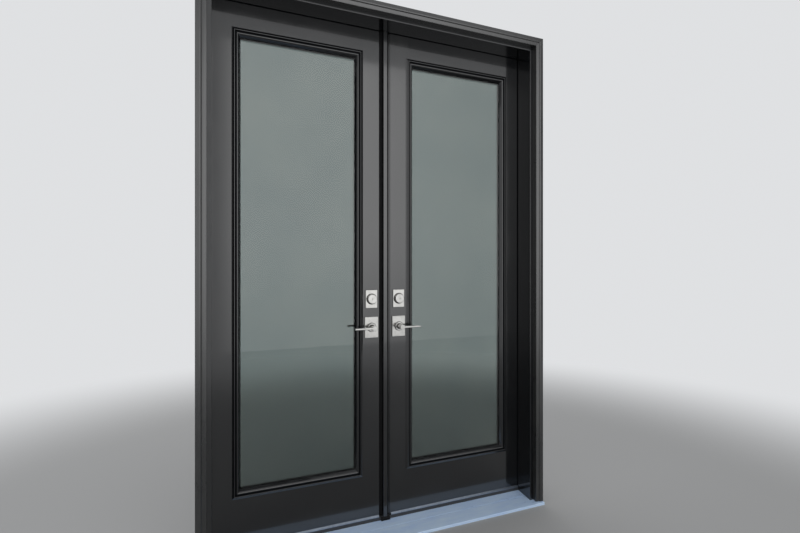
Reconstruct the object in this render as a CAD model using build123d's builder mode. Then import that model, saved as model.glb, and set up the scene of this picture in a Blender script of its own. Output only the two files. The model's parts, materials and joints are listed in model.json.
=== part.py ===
from build123d import *
import os

# Inswing double french doors in their frame. X runs along the wall from the middle of the pair,
# Y points into the room from the back of the brickmould, Z points up from the underside of the sill.
os.makedirs("parts", exist_ok=True)

# Leaves
leaf_width = 780
leaf_height = 2420
leaf_thickness = 44.5
hinge_stile_sight = 89
lock_stile_sight = 85
top_rail_sight = 123
bottom_rail_sight = 205
arris = 1.5
tenon_length = 50
tenon_thickness = 14
tenon_shoulder = 20

# Gaps around the leaves
hinge_gap = 3
head_gap = 3
meeting_gap = 5
running_gap = 0.3
overlap = 1

# Glazing
lite_lap = 14
glass_thickness = 4
glass_space = 12
glass_edge_gap = 3
spacer_width = 15
frame_leg_gap = 1.5

# Moulding of the glazing frame, from its outer edge in towards the glass
lite_moulding_width = 38
lite_edge_height = 2
lite_cove_width = 9.5
lite_cove_height = 8.5
lite_cove_sag = 1.2
lite_bead_width = 6
lite_bead_rise = 1.8
lite_quirk_width = 6
lite_quirk_floor = 5.5
lite_inner_bead_width = 8
lite_inner_bead_foot = 4
lite_inner_bead_rise = 2.4
lite_chamfer = 2
lite_splay_foot = 4

# Astragal on the right leaf
astragal_width = 55
astragal_set_back = 6
bead_width = 21
bead_height = 10
bead_radius = 2.5
bead_head_gap = 2
astragal_foot_gap = 1
astragal_seal_inset = 3
astragal_seal_width = 3
astragal_seal_depth = 5.5
astragal_seal_corner = 1
astragal_kerf_depth = 6.5
seal_barb_thickness = 2.4
seal_barb_length = 5
kerf_width = 3

# Jambs and head
recess = 112
seal_gap = 6
rabbet_depth = 12.7
jamb_thickness = 31.75
jamb_back_reveal = 0.5
frame_arris = 1.5
weatherstrip_width = 11
weatherstrip_corner = 1.4
kerf_depth = 10
kerf_floor_gap = 1

# Brickmould: cove, quirk, bead and flat, from its inner edge outwards
brickmould_width = 42
brickmould_depth = 32
brickmould_reveal = 20
cove_width = 16
cove_edge_height = 25
cove_height = 28
cove_sag = 0.8
quirk_width = 1.5
quirk_floor = 25
mould_bead_width = 7
mould_bead_drop = 4
mould_edge = 2

# Sill
sill_height = 24
sill_nose = 42
deck_thickness = 2.2
deck_groove_y = 48
deck_groove_width = 2
deck_groove_depth = 1.2
nose_height = 13
horn_gap = 0.3
cap_rise = 16
cap_gap = 10
cap_arris = 2

# Drip rail and sweep under each leaf
drip_thickness = 2
drip_projection = 7
drip_drop = 9
drip_lip = 3
drip_stop_gap = 3
sweep_clearance = 0.6
sweep_fin_thickness = 2
sweep_base = 2.5
sweep_bolt_clearance = 1.5
sweep_fin_count = 3
sweep_end_gap = 2

# Butt hinges
hinge_count = 4
hinge_height = 101.6
hinge_leaf_depth = 32
hinge_leaf_thickness = 2.8
hinge_corner = 15.9
hinge_screw_count = 4
hinge_screw_radius = 2.4
hinge_screw_head_radius = 4.8
hinge_screw_stagger = 6.4
knuckle_radius = 6.5
knuckle_count = 5
knuckle_gap = 0.4
knuckle_stand_off = 0.5
pin_radius = 3
pin_fixed_clearance = 0.03
pin_running_clearance = 0.08
pin_button_radius = 5.5
pin_button_height = 3
pin_button_taper = 30
top_hinge_drop = 178
bottom_hinge_rise = 254

# Locks
backset = 42
lever_height = 937
deadbolt_rise = 139.7
cross_bore_radius = 27
edge_bore_radius = 12.7
case_radius = 12.5
case_wall = 1.3
case_length = 60
faceplate_width = 25.4
faceplate_height = 57
faceplate_thickness = 2.5
faceplate_corner = 5
bolt_clearance = 0.3

rose_width = 70
rose_height = 104
rose_depth = 9
rose_chamfer = 1.5
rose_collar_radius = 21
rose_collar_depth = 7
rose_collar_arris = 2
plate_corner = 3
neck_root_radius = 12
neck_waist_radius = 10.5
neck_inset = 4
neck_foot_height = 1
neck_cove_height = 10
neck_head_radius = 12.5
neck_head_depth = 15
neck_head_taper = 3
neck_head_edge = 1
lever_projection = 64
lever_length = 98
lever_bar_height = 11
lever_bar_depth = 15
lever_tip_height = 9
lever_tip_depth = 11
lever_bar_corner = 2.5
spindle_size = 8
spindle_socket_depth = 18
socket_clearance = 0.1

trim_width = 61
trim_height = 90
trim_depth = 8
collar_radius = 25
collar_face_radius = 22.5
collar_depth = 17
collar_arris = 2
plug_radius = 8
plug_clearance = 0.08
keyway_width = 2.4
keyway_height = 11
keyway_depth = 12
tail_width = 6
tail_thickness = 2.4
tail_socket_depth = 6
tail_end_gap = 1
thumb_hub_radius = 9
thumb_hub_depth = 7
thumb_blade_height = 40
thumb_blade_width = 7
thumb_blade_depth = 18
dummy_boss_depth = 4

deadbolt_thickness = 14
deadbolt_height = 20
deadbolt_corner = 4
deadbolt_length = 36
deadbolt_throw = 25.4
deadbolt_tail_length = 20
deadbolt_tail_thickness = 2.4
deadbolt_tail_height = 5
case_cross_hole = 7
latch_thickness = 12
latch_height = 17
latch_corner = 3
latch_length = 26
latch_throw = 12
latch_bevel_length = 9
latch_bevel_width = 9.6

strike_width = 22
strike_height = 70
strike_thickness = 2
strike_clearance = 1.5
strike_pocket_margin = 2
plate_screw_radius = 2.2
plate_screw_head_radius = 3.8
plate_screw_inset = 7.5

# Head and foot bolts of the right leaf
shoot_bolt_radius = 5
shoot_bolt_clearance = 0.4
shoot_bolt_throw = 18
shoot_bolt_chamfer = 1
head_bolt_recess = 0.5
foot_bolt_show = 3.5
gear_case_width = 26
gear_case_depth = 20
gear_case_height = 110
gear_case_wall = 2
gear_case_gap = 0.4
rod_end_gap = 22
rod_radius = 4
bolt_head_length = 90
bolt_strike_length = 60
bolt_strike_width = 22
bolt_strike_thickness = 2
bolt_socket_radius = 6.5

# Places along the wall
meeting_half = (meeting_gap + astragal_width) / 2
free_x = meeting_half
leaf_outer_x = free_x + leaf_width
rabbet_x = leaf_outer_x + hinge_gap
stop_x = rabbet_x - rabbet_depth
jamb_x = stop_x + jamb_thickness
mould_in_x = stop_x + brickmould_reveal
mould_out_x = mould_in_x + brickmould_width
lock_x = free_x + backset
hinge_stile_in_x = leaf_outer_x - hinge_stile_sight - lite_lap
lock_stile_in_x = free_x + lock_stile_sight + lite_lap
lite_out_x = leaf_outer_x - hinge_stile_sight
lite_in_x = free_x + lock_stile_sight
lite_x = (lite_out_x + lite_in_x) / 2

# Depths
face_y = recess
back_y = face_y + leaf_thickness
mid_y = face_y + leaf_thickness / 2
stop_y = face_y - seal_gap
jamb_y = back_y + jamb_back_reveal
pin_y = jamb_y + knuckle_radius + knuckle_stand_off
pin_x = leaf_outer_x + hinge_gap / 2

# Heights
cap_top_z = sill_height + cap_rise
leaf_z = cap_top_z + cap_gap
leaf_top_z = leaf_z + leaf_height
rabbet_z = leaf_top_z + head_gap
stop_z = rabbet_z - rabbet_depth
head_z = stop_z + jamb_thickness
mould_in_z = stop_z + brickmould_reveal
mould_out_z = mould_in_z + brickmould_width
lite_z = leaf_z + bottom_rail_sight
lite_top_z = leaf_top_z - top_rail_sight
lever_z = leaf_z + lever_height
deadbolt_z = lever_z + deadbolt_rise
top_hinge_z = leaf_top_z - top_hinge_drop - hinge_height / 2
bottom_hinge_z = leaf_z + bottom_hinge_rise + hinge_height / 2
hinge_pitch = (top_hinge_z - bottom_hinge_z) / (hinge_count - 1)
hinge_heights = [bottom_hinge_z + hinge_pitch * i for i in range(hinge_count)]

leaf_mid_plane = Plane.XZ.offset(-mid_y)

# Fall of the sill's deck, from the leaves out to the nose
deck_back_y = stop_y
nose_y = -sill_nose
deck_slope = (sill_height - nose_height) / (deck_back_y - nose_y)


def deck_z(y):
    """Height of the sloping deck's top at a distance y from the brickmould's back."""
    return nose_height + deck_slope * (y - nose_y)


def save(builder, name):
    """Label a finished piece and write it under its own name."""
    builder.part.label = name
    export_step(builder.part, f"parts/{name}.step")


def block(x, y, z, mode=Mode.ADD):
    """A block between two limits along each axis."""
    with Locations(((x[0] + x[1]) / 2, (y[0] + y[1]) / 2, (z[0] + z[1]) / 2)):
        Box(x[1] - x[0], y[1] - y[0], z[1] - z[0], mode=mode)


def facing_out(x, z):
    """Plane on the outside face of a leaf, with its normal away from the room."""
    return Plane(origin=(x, face_y, z), x_dir=(1, 0, 0), z_dir=(0, -1, 0))


def facing_meeting(x, z):
    """Plane across the edge of the left leaf at x, with its normal towards the right leaf."""
    return Plane(origin=(x, mid_y, z), x_dir=(0, 1, 0), z_dir=(1, 0, 0))


# Side jamb, rebated on the room side, notched at the top for the head
hinge_leaf_y = jamb_y - hinge_leaf_depth
with BuildPart() as jamb_left:
    with BuildSketch() as jamb_section:
        with BuildLine():
            Polyline(
                (-jamb_x, 0),
                (-stop_x, 0),
                (-stop_x, stop_y),
                (-rabbet_x, stop_y),
                (-rabbet_x, jamb_y),
                (-jamb_x, jamb_y),
                close=True,
            )
        make_face()
        fillet(jamb_section.vertices().group_by(Axis.X)[-1], frame_arris)
        with Locations((-rabbet_x + kerf_width / 2, stop_y - kerf_depth / 2)):
            Rectangle(kerf_width, kerf_depth, mode=Mode.SUBTRACT)
    extrude(amount=head_z)
    block((-rabbet_x, -stop_x), (0, stop_y), (stop_z, head_z), Mode.SUBTRACT)
    with BuildSketch(Plane.YZ.offset(-rabbet_x)) as mortises:
        with Locations(*[((hinge_leaf_y + jamb_y) / 2, z) for z in hinge_heights]):
            Rectangle(hinge_leaf_depth, hinge_height)
        fillet(mortises.vertices().group_by(Axis.X)[0], hinge_corner)
    extrude(amount=-hinge_leaf_thickness, mode=Mode.SUBTRACT)
save(jamb_left, "jamb_left")

with BuildPart() as jamb_right:
    mirror(jamb_left.part, about=Plane.YZ)
save(jamb_right, "jamb_right")

# Head jamb, with the socket for the head bolt
with BuildPart() as head_jamb:
    with BuildSketch(Plane.YZ.offset(-rabbet_x)) as head_section:
        with BuildLine():
            Polyline(
                (0, head_z),
                (0, stop_z),
                (stop_y, stop_z),
                (stop_y, rabbet_z),
                (jamb_y, rabbet_z),
                (jamb_y, head_z),
                close=True,
            )
        make_face()
        fillet(head_section.vertices().group_by(Axis.Y)[0], frame_arris)
        with Locations((stop_y - kerf_depth / 2, rabbet_z - kerf_width / 2)):
            Rectangle(kerf_depth, kerf_width, mode=Mode.SUBTRACT)
    extrude(amount=2 * rabbet_x)
    with BuildSketch(Plane.XY.offset(rabbet_z)):
        with Locations((lock_x, mid_y)):
            SlotOverall(bolt_strike_length, bolt_strike_width)
    extrude(amount=bolt_strike_thickness, mode=Mode.SUBTRACT)
    with BuildSketch(Plane.XY.offset(rabbet_z)):
        with Locations((lock_x, mid_y)):
            Circle(bolt_socket_radius)
    extrude(amount=shoot_bolt_throw, mode=Mode.SUBTRACT)
save(head_jamb, "head_jamb")


def mould_profile():
    """Brickmould section. Local x runs outwards from its inner edge, local y away from the wall."""
    quirk_end = cove_width + quirk_width
    bead_end = quirk_end + mould_bead_width
    bead_foot = brickmould_depth - mould_bead_drop
    with BuildLine() as outline:
        Polyline(
            (0, cove_edge_height),
            (0, 0),
            (brickmould_width, 0),
            (brickmould_width, brickmould_depth - mould_edge),
            (brickmould_width - mould_edge, brickmould_depth),
            (bead_end, brickmould_depth),
        )
        TangentArc((bead_end, brickmould_depth), (quirk_end, bead_foot), tangent=(-1, 0))
        Polyline(
            (quirk_end, bead_foot),
            (quirk_end, quirk_floor),
            (cove_width, quirk_floor),
            (cove_width, cove_height),
        )
        SagittaArc((cove_width, cove_height), (0, cove_edge_height), cove_sag)
    make_face(outline.edges())


# Brickmould legs and head, mitred where they meet
mitre_plane = Plane(origin=(-mould_in_x, 0, mould_in_z), z_dir=(1, 0, 1))
leg_foot_z = deck_z(0) + horn_gap
leg_foot = Plane(origin=(-mould_in_x, 0, leg_foot_z), x_dir=(-1, 0, 0), z_dir=(0, 0, 1))
with BuildPart() as brickmould_left:
    with BuildSketch(leg_foot):
        mould_profile()
    extrude(amount=mould_out_z - leg_foot_z)
    split(bisect_by=mitre_plane, keep=Keep.BOTTOM)
save(brickmould_left, "brickmould_left")

with BuildPart() as brickmould_right:
    mirror(brickmould_left.part, about=Plane.YZ)
save(brickmould_right, "brickmould_right")

head_start = Plane(origin=(-mould_out_x, 0, mould_in_z), x_dir=(0, 0, 1), z_dir=(1, 0, 0))
with BuildPart() as brickmould_head:
    with BuildSketch(head_start):
        mould_profile()
    extrude(amount=2 * mould_out_x)
    split(bisect_by=mitre_plane, keep=Keep.TOP)
    split(bisect_by=Plane(origin=(mould_in_x, 0, mould_in_z), z_dir=(-1, 0, 1)), keep=Keep.TOP)
save(brickmould_head, "brickmould_head")

# Sill: a base between the jambs, its front running under the brickmould
def notch_for_jambs(z_top):
    """Cut both ends of the sill back to the jambs, leaving the horns in front of them."""
    for side in (-1, 1):
        x_stop = sorted((side * stop_x, side * (mould_out_x + overlap)))
        x_rabbet = sorted((side * rabbet_x, side * (mould_out_x + overlap)))
        block(x_stop, (0, stop_y), (-overlap, z_top), Mode.SUBTRACT)
        block(x_rabbet, (stop_y, jamb_y + overlap), (-overlap, z_top), Mode.SUBTRACT)


with BuildPart() as sill_base:
    with BuildSketch(Plane.YZ.offset(-mould_out_x)):
        with BuildLine():
            Polyline(
                (nose_y + deck_thickness, 0),
                (nose_y + deck_thickness, deck_z(nose_y + deck_thickness) - deck_thickness),
                (deck_back_y, sill_height - deck_thickness),
                (deck_back_y, sill_height),
                (jamb_y, sill_height),
                (jamb_y, 0),
                close=True,
            )
        make_face()
    extrude(amount=2 * mould_out_x)
    notch_for_jambs(sill_height + overlap)
save(sill_base, "sill_base")

groove_front_y = deck_groove_y - deck_groove_width / 2
groove_back_y = deck_groove_y + deck_groove_width / 2
groove_floor_z = deck_z(deck_groove_y) - deck_groove_depth
with BuildPart() as sill_deck:
    with BuildSketch(Plane.YZ.offset(-mould_out_x)) as deck_section:
        with BuildLine():
            Polyline(
                (nose_y, 0),
                (nose_y, nose_height),
                (groove_front_y, deck_z(groove_front_y)),
                (groove_front_y, groove_floor_z),
                (groove_back_y, groove_floor_z),
                (groove_back_y, deck_z(groove_back_y)),
                (deck_back_y, sill_height),
                (deck_back_y, sill_height - deck_thickness),
                (nose_y + deck_thickness, deck_z(nose_y + deck_thickness) - deck_thickness),
                (nose_y + deck_thickness, 0),
                close=True,
            )
        make_face()
        fillet(deck_section.vertices().group_by(Axis.X)[0].sort_by(Axis.Y)[-1], deck_thickness)
    extrude(amount=2 * mould_out_x)
    notch_for_jambs(sill_height + overlap)
save(sill_deck, "sill_deck")

# Threshold cap under the leaves, with the socket for the foot bolt
with BuildPart() as threshold_cap:
    with BuildSketch(Plane.YZ.offset(-rabbet_x)) as cap_section:
        with Locations(((deck_back_y + jamb_y) / 2, sill_height + cap_rise / 2)):
            Rectangle(jamb_y - deck_back_y, cap_rise)
        fillet(cap_section.vertices().group_by(Axis.Y)[-1], cap_arris)
    extrude(amount=2 * rabbet_x)
    with BuildSketch(Plane.XY.offset(cap_top_z)):
        with Locations((lock_x, mid_y)):
            SlotOverall(bolt_strike_length, bolt_strike_width)
    extrude(amount=-bolt_strike_thickness, mode=Mode.SUBTRACT)
    with BuildSketch(Plane.XY.offset(cap_top_z)):
        with Locations((lock_x, mid_y)):
            Circle(bolt_socket_radius)
    extrude(amount=-shoot_bolt_throw + foot_bolt_show, mode=Mode.SUBTRACT)
save(threshold_cap, "threshold_cap")



def plate_screws(face, length, height, thickness):
    """Two countersunk screw holes near the ends of a plate that is long in local x or in local y."""
    run = max(length, height) / 2 - plate_screw_inset
    along = (run, 0) if length > height else (0, run)
    for x, y in (along, (-along[0], -along[1])):
        with Locations(face * Location((x, y, 0))):
            CounterSinkHole(plate_screw_radius, plate_screw_head_radius, thickness)


# Plates let into the head and the cap round the two bolt sockets
with BuildPart() as bolt_strikes:
    for strike_z in (rabbet_z, cap_top_z - bolt_strike_thickness):
        with BuildSketch(Plane.XY.offset(strike_z)):
            with Locations((lock_x, mid_y)):
                SlotOverall(bolt_strike_length, bolt_strike_width)
                Circle(bolt_socket_radius, mode=Mode.SUBTRACT)
        extrude(amount=bolt_strike_thickness)
    for strike_z, normal in ((rabbet_z, -1), (cap_top_z, 1)):
        face = Plane(origin=(lock_x, mid_y, strike_z), x_dir=(1, 0, 0), z_dir=(0, 0, normal))
        plate_screws(face, bolt_strike_length, 0, bolt_strike_thickness)
save(bolt_strikes, "bolt_strikes")


def seal_section(x_dir_in):
    """Seal section in the corner of a rabbet: bulb against the leaf and barb in the kerf."""
    bulb = seal_gap - running_gap
    with Locations((x_dir_in * weatherstrip_width / 2, bulb / 2)):
        RectangleRounded(weatherstrip_width, bulb, weatherstrip_corner)
    with Locations((x_dir_in * kerf_width / 2, kerf_floor_gap - kerf_depth)):
        Rectangle(seal_barb_thickness, kerf_depth, align=(Align.CENTER, Align.MIN))


# Compression seal: two legs and a head piece, each pressed into its kerf
with BuildPart() as weatherstrip:
    for side in (-1, 1):
        with BuildSketch(Plane(origin=(side * rabbet_x, stop_y, cap_top_z), z_dir=(0, 0, 1))):
            seal_section(-side)
        extrude(amount=stop_z - running_gap - cap_top_z)
    seal_head = Plane(origin=(-rabbet_x, stop_y, rabbet_z), x_dir=(0, 0, -1), z_dir=(1, 0, 0))
    with BuildSketch(seal_head):
        seal_section(1)
    extrude(amount=2 * rabbet_x)
save(weatherstrip, "weatherstrip")

# Butt hinges
knuckle_height = hinge_height / knuckle_count
frame_knuckles = range(0, knuckle_count, 2)
door_knuckles = range(1, knuckle_count, 2)
screw_pitch = hinge_height / hinge_screw_count


def hinge_leaves(plate_x, out, kept, bore_radius):
    """One hinge leaf at every hinge height. The plate lies from plate_x towards out, in X."""
    plate_y = pin_y - knuckle_radius - knuckle_stand_off
    thickness = out * hinge_leaf_thickness
    with BuildPart() as leaves:
        with BuildSketch(Plane.YZ.offset(plate_x)) as plates:
            with Locations(*[((hinge_leaf_y + plate_y) / 2, z) for z in hinge_heights]):
                Rectangle(plate_y - hinge_leaf_y, hinge_height)
            fillet(plates.vertices().group_by(Axis.X)[0], hinge_corner)
        extrude(amount=thickness)
        for foot in [z - hinge_height / 2 for z in hinge_heights]:
            for i in kept:
                with BuildSketch(Plane.XY.offset(foot + i * knuckle_height + knuckle_gap / 2)):
                    with Locations((-pin_x, pin_y)):
                        Circle(knuckle_radius)
                    with Locations((plate_x + thickness / 2, (plate_y + pin_y) / 2)):
                        Rectangle(hinge_leaf_thickness, pin_y - plate_y)
                extrude(amount=knuckle_height - knuckle_gap)
            with BuildSketch(Plane.XY.offset(foot)):
                with Locations((-pin_x, pin_y)):
                    Circle(bore_radius)
            extrude(amount=hinge_height, mode=Mode.SUBTRACT)
        gap_side = Plane(origin=(plate_x, 0, 0), x_dir=(0, -out, 0), z_dir=(-out, 0, 0))
        for z in hinge_heights:
            for i in range(hinge_screw_count):
                y = (hinge_leaf_y + plate_y) / 2 + (-1) ** i * hinge_screw_stagger
                rise = (i - (hinge_screw_count - 1) / 2) * screw_pitch
                with Locations(gap_side * Location((-out * y, z + rise, 0))):
                    CounterSinkHole(hinge_screw_radius, hinge_screw_head_radius, hinge_leaf_thickness)
    return leaves


hinge_frame_leaves_left = hinge_leaves(
    -rabbet_x, -1, frame_knuckles, pin_radius + pin_fixed_clearance
)
save(hinge_frame_leaves_left, "hinge_frame_leaves_left")

hinge_door_leaves_left = hinge_leaves(
    -leaf_outer_x, 1, door_knuckles, pin_radius + pin_running_clearance
)
save(hinge_door_leaves_left, "hinge_door_leaves_left")

with BuildPart() as hinge_pins_left:
    stack = hinge_height - knuckle_gap
    with BuildSketch(*[Plane.XY.offset(z - stack / 2) for z in hinge_heights]):
        with Locations((-pin_x, pin_y)):
            Circle(pin_radius)
    extrude(amount=stack)
    with BuildSketch(*[Plane.XY.offset(z + stack / 2) for z in hinge_heights]):
        with Locations((-pin_x, pin_y)):
            Circle(pin_button_radius)
    extrude(amount=pin_button_height, taper=pin_button_taper)
save(hinge_pins_left, "hinge_pins_left")


def save_mirrored(builder, name):
    """The right-hand twin of a left-hand piece."""
    with BuildPart() as twin:
        mirror(builder.part, about=Plane.YZ)
    save(twin, name)


save_mirrored(hinge_frame_leaves_left, "hinge_frame_leaves_right")
save_mirrored(hinge_door_leaves_left, "hinge_door_leaves_right")
save_mirrored(hinge_pins_left, "hinge_pins_right")

# Hinge stile: mortises for the hinges on its edge and for the rails' tenons on its inner side
top_rail_z = lite_top_z - lite_lap
bottom_rail_z = lite_z + lite_lap
rails = ((leaf_z, bottom_rail_z), (top_rail_z, leaf_top_z))


def tenon(x, z, mode):
    """Tenon of a rail between heights z, or the mortise that takes it."""
    y = (mid_y - tenon_thickness / 2, mid_y + tenon_thickness / 2)
    block(x, y, (z[0] + tenon_shoulder, z[1] - tenon_shoulder), mode)


with BuildPart() as hinge_stile_left:
    with BuildSketch(Plane.XY.offset(leaf_z)) as stile_section:
        with Locations((-(leaf_outer_x + hinge_stile_in_x) / 2, mid_y)):
            Rectangle(leaf_outer_x - hinge_stile_in_x, leaf_thickness)
        fillet(stile_section.vertices().group_by(Axis.X)[0], arris)
    extrude(amount=leaf_height)
    for rail in rails:
        tenon((-hinge_stile_in_x - tenon_length, -hinge_stile_in_x), rail, Mode.SUBTRACT)
    with BuildSketch(Plane.YZ.offset(-leaf_outer_x)) as mortises:
        with Locations(*[((hinge_leaf_y + jamb_y) / 2, z) for z in hinge_heights]):
            Rectangle(hinge_leaf_depth, hinge_height)
        fillet(mortises.vertices().group_by(Axis.X)[0], hinge_corner)
    extrude(amount=hinge_leaf_thickness, mode=Mode.SUBTRACT)
save(hinge_stile_left, "hinge_stile_left")
save_mirrored(hinge_stile_left, "hinge_stile_right")

for name, rail in zip(("bottom_rail", "top_rail"), rails):
    with BuildPart() as rail_left:
        block((-hinge_stile_in_x, -lock_stile_in_x), (face_y, back_y), rail)
        tenon((-hinge_stile_in_x - tenon_length, -lock_stile_in_x + tenon_length), rail, Mode.ADD)
    save(rail_left, f"{name}_left")
    save_mirrored(rail_left, f"{name}_right")

# Lock stile before its lock work, free edge towards the other leaf
with BuildPart() as lock_stile_blank:
    with BuildSketch(Plane.XY.offset(leaf_z)) as stile_section:
        with Locations((-(free_x + lock_stile_in_x) / 2, mid_y)):
            Rectangle(lock_stile_in_x - free_x, leaf_thickness)
        fillet(stile_section.vertices().group_by(Axis.X)[-1], arris)
    extrude(amount=leaf_height)
    for rail in rails:
        tenon((-lock_stile_in_x, -lock_stile_in_x + tenon_length), rail, Mode.SUBTRACT)

with BuildPart() as lock_stile_left:
    add(lock_stile_blank.part)
    with BuildSketch(leaf_mid_plane):
        with Locations((-lock_x, lever_z), (-lock_x, deadbolt_z)):
            Circle(cross_bore_radius)
    extrude(amount=leaf_thickness, both=True, mode=Mode.SUBTRACT)
    for z in (lever_z, deadbolt_z):
        with BuildSketch(facing_meeting(-free_x, z)):
            Circle(edge_bore_radius)
        extrude(amount=-case_length - faceplate_thickness - overlap, mode=Mode.SUBTRACT)
        with BuildSketch(facing_meeting(-free_x, z)):
            RectangleRounded(faceplate_width, faceplate_height, faceplate_corner)
        extrude(amount=-faceplate_thickness, mode=Mode.SUBTRACT)
save(lock_stile_left, "lock_stile_left")

with BuildPart() as lock_stile_right:
    mirror(lock_stile_blank.part, about=Plane.YZ)
    with BuildSketch(leaf_mid_plane):
        with Locations((lock_x, lever_z)):
            Circle(cross_bore_radius)
    extrude(amount=leaf_thickness, both=True, mode=Mode.SUBTRACT)
    with BuildSketch(Plane.XY.offset(leaf_z)):
        with Locations((lock_x, mid_y)):
            Circle(shoot_bolt_radius + shoot_bolt_clearance)
    extrude(amount=leaf_height, mode=Mode.SUBTRACT)
    with BuildSketch(Plane.XY.offset(lever_z - gear_case_height / 2 - gear_case_gap)):
        with Locations((lock_x, mid_y)):
            Rectangle(gear_case_width + 2 * gear_case_gap, gear_case_depth + 2 * gear_case_gap)
    extrude(amount=gear_case_height + 2 * gear_case_gap, mode=Mode.SUBTRACT)
save(lock_stile_right, "lock_stile_right")

# Double glazing: two panes and the spacer between them
lite_width = lite_out_x - lite_in_x
lite_height = lite_top_z - lite_z
lite_mid_z = (lite_z + lite_top_z) / 2
pane_inset = lite_lap + glass_edge_gap
pane_width = lite_width - 2 * pane_inset
pane_height = lite_height - 2 * pane_inset
unit_thickness = 2 * glass_thickness + glass_space
glass_face = (leaf_thickness - unit_thickness) / 2

with BuildPart() as glass_panes_left:
    for pane_y in (mid_y - unit_thickness / 2, mid_y + unit_thickness / 2 - glass_thickness):
        with BuildSketch(Plane.XZ.offset(-pane_y)):
            with Locations((-lite_x, lite_mid_z)):
                Rectangle(pane_width, pane_height)
        extrude(amount=-glass_thickness)
save(glass_panes_left, "glass_panes_left")
save_mirrored(glass_panes_left, "glass_panes_right")

with BuildPart() as glass_spacer_left:
    with BuildSketch(leaf_mid_plane):
        with Locations((-lite_x, lite_mid_z)):
            Rectangle(pane_width, pane_height)
            Rectangle(pane_width - 2 * spacer_width, pane_height - 2 * spacer_width, mode=Mode.SUBTRACT)
    extrude(amount=glass_space / 2, both=True)
save(glass_spacer_left, "glass_spacer_left")
save_mirrored(glass_spacer_left, "glass_spacer_right")

# Glazing frame: a moulding swept round the lite, with a leg that reaches in to the glass
bead_end = lite_cove_width + lite_bead_width
quirk_end = bead_end + lite_quirk_width
splay = quirk_end + lite_inner_bead_width
with BuildPart() as lite_frame_outside_left:
    with BuildLine(Plane.XZ.offset(-face_y)) as lite_path:
        Polyline(
            (-lite_x, lite_z),
            (-lite_in_x, lite_z),
            (-lite_in_x, lite_top_z),
            (-lite_out_x, lite_top_z),
            (-lite_out_x, lite_z),
            close=True,
        )
    with BuildSketch(Plane(origin=(-lite_x, face_y, lite_z), x_dir=(0, 0, 1), z_dir=(1, 0, 0))):
        with BuildLine():
            Line((0, 0), (0, lite_edge_height))
            SagittaArc((0, lite_edge_height), (lite_cove_width, lite_cove_height), -lite_cove_sag)
            SagittaArc((lite_cove_width, lite_cove_height), (bead_end, lite_cove_height), lite_bead_rise)
            Line((bead_end, lite_cove_height), (bead_end, lite_quirk_floor))
            Line((bead_end, lite_quirk_floor), (quirk_end, lite_quirk_floor))
            SagittaArc((quirk_end, lite_quirk_floor), (splay, lite_inner_bead_foot), lite_inner_bead_rise)
            Polyline(
                (splay, lite_inner_bead_foot),
                (splay + lite_chamfer, lite_inner_bead_foot - lite_chamfer),
                (lite_moulding_width, -glass_face + lite_splay_foot),
                (lite_moulding_width, -glass_face),
                (lite_lap + frame_leg_gap, -glass_face),
                (lite_lap + frame_leg_gap, 0),
                (0, 0),
            )
        make_face()
    sweep(path=lite_path.wires()[0], transition=Transition.RIGHT)
save(lite_frame_outside_left, "lite_frame_outside_left")
save_mirrored(lite_frame_outside_left, "lite_frame_outside_right")

with BuildPart() as lite_frame_inside_left:
    mirror(lite_frame_outside_left.part, about=leaf_mid_plane)
save(lite_frame_inside_left, "lite_frame_inside_left")
save_mirrored(lite_frame_inside_left, "lite_frame_inside_right")

# Drip rail screwed under the leaf, with its nose in front, and the rubber sweep under it
sweep_end_x = leaf_outer_x - sweep_end_gap
sweep_length = leaf_width - 2 * sweep_end_gap
nose_front = face_y - drip_projection
nose_foot = leaf_z - drip_drop
flange_z = leaf_z - drip_thickness
with BuildPart() as drip_rail_left:
    with BuildSketch(Plane.YZ.offset(-sweep_end_x)):
        with BuildLine():
            Polyline(
                (face_y, leaf_z),
                (nose_front, nose_foot + drip_lip),
                (nose_front, nose_foot),
                (nose_front + drip_thickness, nose_foot),
                (nose_front + drip_thickness, nose_foot + drip_lip - drip_thickness / 2),
                (face_y + drip_thickness / 2, flange_z),
                (back_y - drip_thickness, flange_z),
                (back_y - drip_thickness, leaf_z),
                close=True,
            )
        make_face()
    extrude(amount=sweep_length)
    nose_end_x = stop_x - drip_stop_gap
    block((-sweep_end_x, -nose_end_x), (nose_front, face_y), (nose_foot, leaf_z), Mode.SUBTRACT)
save(drip_rail_left, "drip_rail_left")

sweep_front = face_y + 2 * drip_thickness
sweep_back = back_y - 2 * drip_thickness
fin_pitch = (sweep_back - sweep_front - sweep_fin_thickness) / (sweep_fin_count - 1)
fin_foot = cap_top_z + sweep_clearance
with BuildPart() as sweep_left:
    with BuildSketch(Plane.YZ.offset(-sweep_end_x)):
        with Locations(((sweep_front + sweep_back) / 2, flange_z - sweep_base / 2)):
            Rectangle(sweep_back - sweep_front, sweep_base)
        for i in range(sweep_fin_count):
            with Locations((sweep_front + fin_pitch * i, fin_foot)):
                Rectangle(sweep_fin_thickness, flange_z - fin_foot, align=(Align.MIN, Align.MIN))
    extrude(amount=sweep_length)
save(sweep_left, "sweep_left")

for name, under_leaf in (("drip_rail", drip_rail_left), ("sweep", sweep_left)):
    with BuildPart() as bored_for_bolt:
        mirror(under_leaf.part, about=Plane.YZ)
        with BuildSketch(Plane.XY.offset(leaf_z)):
            with Locations((lock_x, mid_y)):
                Circle(shoot_bolt_radius + sweep_bolt_clearance)
        extrude(amount=cap_top_z - leaf_z, mode=Mode.SUBTRACT)
    save(bored_for_bolt, f"{name}_right")

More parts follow.
